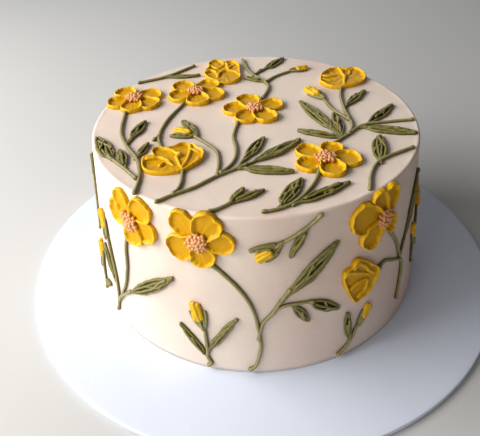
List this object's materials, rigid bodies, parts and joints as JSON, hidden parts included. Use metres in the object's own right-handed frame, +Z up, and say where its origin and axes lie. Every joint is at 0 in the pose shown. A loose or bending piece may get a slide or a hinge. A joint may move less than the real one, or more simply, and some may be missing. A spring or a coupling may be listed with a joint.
{
  "type": "decorated round cake on board",
  "caption": "Uncut round buttercream cake on a thin white round board, with piped yellow flowers, buds and green leafy stems on its top and wall.",
  "frame": {"origin": "middle of the board's underside", "axes": "+Z up; -Y towards the front; +X to the right seen from the front"},
  "size_m": [0.305, 0.305, 0.1132],
  "materials": {
    "board": "smooth white satin",
    "icing": "smooth pale buttercream",
    "petal": "piped golden yellow buttercream",
    "centre": "piped salmon orange buttercream dots",
    "green": "piped olive green buttercream"
  },
  "bodies": {
    "root": {"board": "board", "bud_side_a": "petal", "bud_side_c": "petal", "bud_side_d": "petal", "bud_side_f": "petal", "bud_side_g": "petal", "bud_side_i": "petal", "bud_top_c": "petal", "bud_top_d": "petal", "bud_top_f": "petal", "cake": "icing", "centre_side_1": "centre", "centre_side_2": "centre", "centre_side_3": "centre", "centre_side_5": "centre", "centre_side_6": "centre", "centre_side_7": "centre", "centre_top_1": "centre", "centre_top_2": "centre", "centre_top_3": "centre", "centre_top_7": "centre", "flower_side_1": "petal", "flower_side_2": "petal", "flower_side_3": "petal", "flower_side_4": "petal", "flower_side_5": "petal", "flower_side_6": "petal", "flower_side_7": "petal", "flower_side_8": "petal", "flower_top_1": "petal", "flower_top_2": "petal", "flower_top_3": "petal", "flower_top_4": "petal", "flower_top_5": "petal", "flower_top_6": "petal", "flower_top_7": "petal", "spray_side_a": "green", "spray_side_b": "green", "spray_side_c": "green", "spray_side_d": "green", "spray_side_e": "green", "spray_side_f": "green", "spray_side_g": "green", "spray_side_h": "green", "spray_side_i": "green", "spray_side_j": "green", "spray_side_k": "green", "spray_side_l": "green", "spray_side_m": "green", "spray_side_n": "green", "spray_top_a": "green", "spray_top_b": "green", "spray_top_c": "green", "spray_top_d": "green", "spray_top_e": "green", "spray_top_f": "green", "spray_top_g": "green", "spray_top_h": "green", "spray_top_i": "green"}
  },
  "joints": []
}
